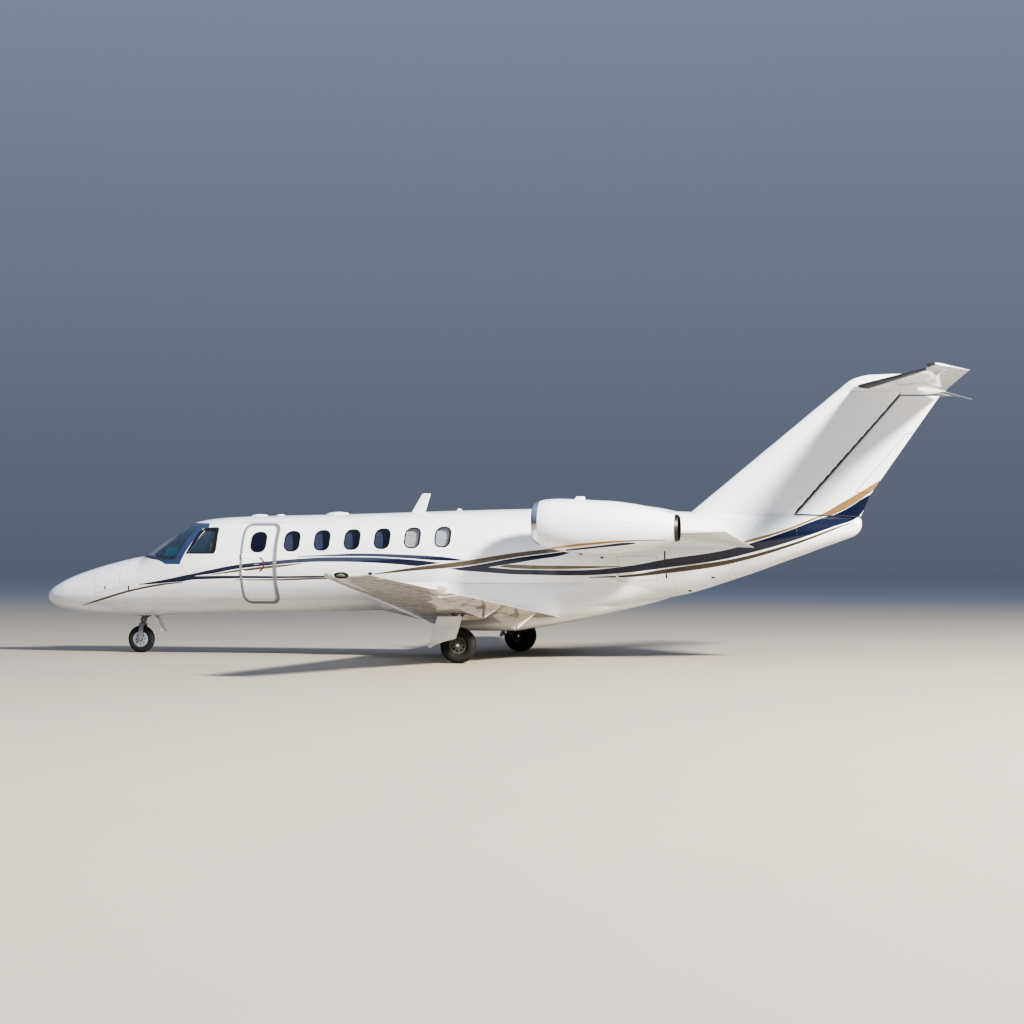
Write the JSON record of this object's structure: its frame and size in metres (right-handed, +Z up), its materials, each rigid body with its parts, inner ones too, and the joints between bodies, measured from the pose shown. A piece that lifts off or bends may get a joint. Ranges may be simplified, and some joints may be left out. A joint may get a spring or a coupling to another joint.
{
  "type": "business jet",
  "caption": "Light twin-engine business jet with a T-tail, straight low wing, rear engine pods, striped white paint, opening door and hatches, working control surfaces, turning wheels and fans.",
  "frame": {"origin": "on the ground, under the middle of the aircraft's length and span", "axes": "+X towards the tail, so the nose points to -X; +Y towards the right wing tip; +Z up"},
  "size_m": [15.5842, 16.26, 4.62],
  "materials": {
    "white_paint": "gloss",
    "light_skin": "gloss white paint",
    "composite": "gloss white paint",
    "bare_metal": "satin",
    "fan_metal": "satin",
    "tinted_glass": "clear, tinted",
    "tyre": "matte",
    "leather": "soft",
    "cabin_trim": "matte",
    "floor": "satin"
  },
  "bodies": {
    "airframe": {"belly_fairing": "composite", "cabin_floor": "floor", "cabin_seats": "leather", "cabin_section": "white_paint", "cockpit_seats": "leather", "cockpit_section": "white_paint", "cockpit_window_left": "tinted_glass", "cockpit_window_right": "tinted_glass", "engine_left": "fan_metal", "engine_right": "fan_metal", "fin_cap": "composite", "instrument_panel": "cabin_trim", "main_door_left": "white_paint", "main_door_right": "white_paint", "main_leg_left": "bare_metal", "main_leg_right": "bare_metal", "nacelle_left": "composite", "nacelle_right": "composite", "nose_gear_door": "white_paint", "nose_leg": "bare_metal", "nose_section": "white_paint", "pylon_left": "light_skin", "pylon_right": "light_skin", "radome": "composite", "stabilizer": "light_skin", "tail_section": "light_skin", "vertical_fin": "light_skin", "windshield_left": "tinted_glass", "windshield_right": "tinted_glass", "wing_left": "white_paint", "wing_right": "white_paint"},
    "cabin_door": {"cabin_door": "white_paint", "door_window": "tinted_glass"},
    "nose_hatch_left": {"nose_hatch_left": "white_paint"},
    "nose_hatch_right": {"nose_hatch_right": "white_paint"},
    "tail_hatch": {"tail_hatch": "light_skin"},
    "aileron_left": {"aileron_left": "white_paint"},
    "aileron_right": {"aileron_right": "white_paint"},
    "flap_left": {"flap_left": "white_paint"},
    "flap_right": {"flap_right": "white_paint"},
    "elevator_left": {"elevator_left": "light_skin"},
    "elevator_right": {"elevator_right": "light_skin"},
    "rudder": {"rudder": "light_skin"},
    "nose_strut": {"nose_fork": "bare_metal"},
    "nose_wheel": {"nose_tyre": "tyre", "nose_rim": "fan_metal"},
    "main_wheel_left": {"main_left_tyre": "tyre", "main_left_rim": "fan_metal"},
    "main_wheel_right": {"main_right_tyre": "tyre", "main_right_rim": "fan_metal"},
    "fan_left": {"fan_left": "fan_metal"},
    "fan_right": {"fan_right": "fan_metal"}
  },
  "joints": [
    {"name": "cabin_door_hinge", "type": "hinge", "parent": "airframe", "child": "cabin_door", "pos_m": [-4.057, -0.829, 1.53], "axis": [0, 0, -1], "range_deg": [0, 165]},
    {"name": "nose_hatch_left_hinge", "type": "hinge", "parent": "airframe", "child": "nose_hatch_left", "pos_m": [-6.562, -0.38281, 1.4], "axis": [-0.9679, 0.1604, -0.1936], "range_deg": [0, 85]},
    {"name": "nose_hatch_right_hinge", "type": "hinge", "parent": "airframe", "child": "nose_hatch_right", "pos_m": [-6.562, 0.38281, 1.4], "axis": [0.9679, 0.1604, 0.1936], "range_deg": [0, 85]},
    {"name": "tail_hatch_hinge", "type": "hinge", "parent": "airframe", "child": "tail_hatch", "pos_m": [2.218, -0.70892, 1.46], "axis": [0, 0.2734, -0.9619], "range_deg": [0, 100]},
    {"name": "aileron_left_hinge", "type": "hinge", "parent": "airframe", "child": "aileron_left", "pos_m": [0.34467, -5, 1.1058], "axis": [0.1321, 0.9867, -0.0951], "range_deg": [-20, 20]},
    {"name": "aileron_right_hinge", "type": "hinge", "parent": "airframe", "child": "aileron_right", "pos_m": [0.34467, 5, 1.1058], "axis": [-0.1321, 0.9867, 0.0951], "range_deg": [-20, 20]},
    {"name": "flap_left_hinge", "type": "hinge", "parent": "airframe", "child": "flap_left", "pos_m": [0.89011, -0.95, 0.42138], "axis": [0.142, 0.98, -0.1395], "range_deg": [0, 35]},
    {"name": "flap_right_hinge", "type": "hinge", "parent": "airframe", "child": "flap_right", "pos_m": [0.89011, 0.95, 0.42138], "axis": [-0.142, 0.98, 0.1395], "range_deg": [0, 35]},
    {"name": "elevator_left_hinge", "type": "hinge", "parent": "airframe", "child": "elevator_left", "pos_m": [7.00712, -0.145, 4.41285], "axis": [0.164, -0.9863, 0.0194], "range_deg": [-3, 32]},
    {"name": "elevator_right_hinge", "type": "hinge", "parent": "airframe", "child": "elevator_right", "pos_m": [7.00712, 0.145, 4.41285], "axis": [-0.164, -0.9863, -0.0194], "range_deg": [-3, 32]},
    {"name": "rudder_hinge", "type": "hinge", "parent": "airframe", "child": "rudder", "pos_m": [5.092, 0, 2.373], "axis": [0.6538, 0, 0.7567], "range_deg": [-25, 25]},
    {"name": "nose_steering", "type": "hinge", "parent": "airframe", "child": "nose_strut", "pos_m": [-6.0817, 0, 0.53], "axis": [0.1392, 0, 0.9903], "range_deg": [-20, 20]},
    {"name": "nose_wheel_spin", "type": "hinge", "parent": "nose_strut", "child": "nose_wheel", "pos_m": [-6.112, 0, 0.229], "axis": [0, 1, 0], "continuous": true},
    {"name": "main_wheel_left_spin", "type": "hinge", "parent": "airframe", "child": "main_wheel_left", "pos_m": [-0.002, -2.44, 0.28], "axis": [0, 1, 0], "continuous": true},
    {"name": "main_wheel_right_spin", "type": "hinge", "parent": "airframe", "child": "main_wheel_right", "pos_m": [-0.002, 2.44, 0.28], "axis": [0, 1, 0], "continuous": true},
    {"name": "fan_left_spin", "type": "hinge", "parent": "airframe", "child": "fan_left", "pos_m": [1.538, -1.4, 2.128], "axis": [1, 0, 0], "continuous": true},
    {"name": "fan_right_spin", "type": "hinge", "parent": "airframe", "child": "fan_right", "pos_m": [1.538, 1.4, 2.128], "axis": [1, 0, 0], "continuous": true}
  ],
  "couplings": [
    {"joint": "aileron_right_hinge", "follows": "aileron_left_hinge", "ratio": -1},
    {"joint": "flap_right_hinge", "follows": "flap_left_hinge", "ratio": 1},
    {"joint": "elevator_right_hinge", "follows": "elevator_left_hinge", "ratio": 1}
  ]
}
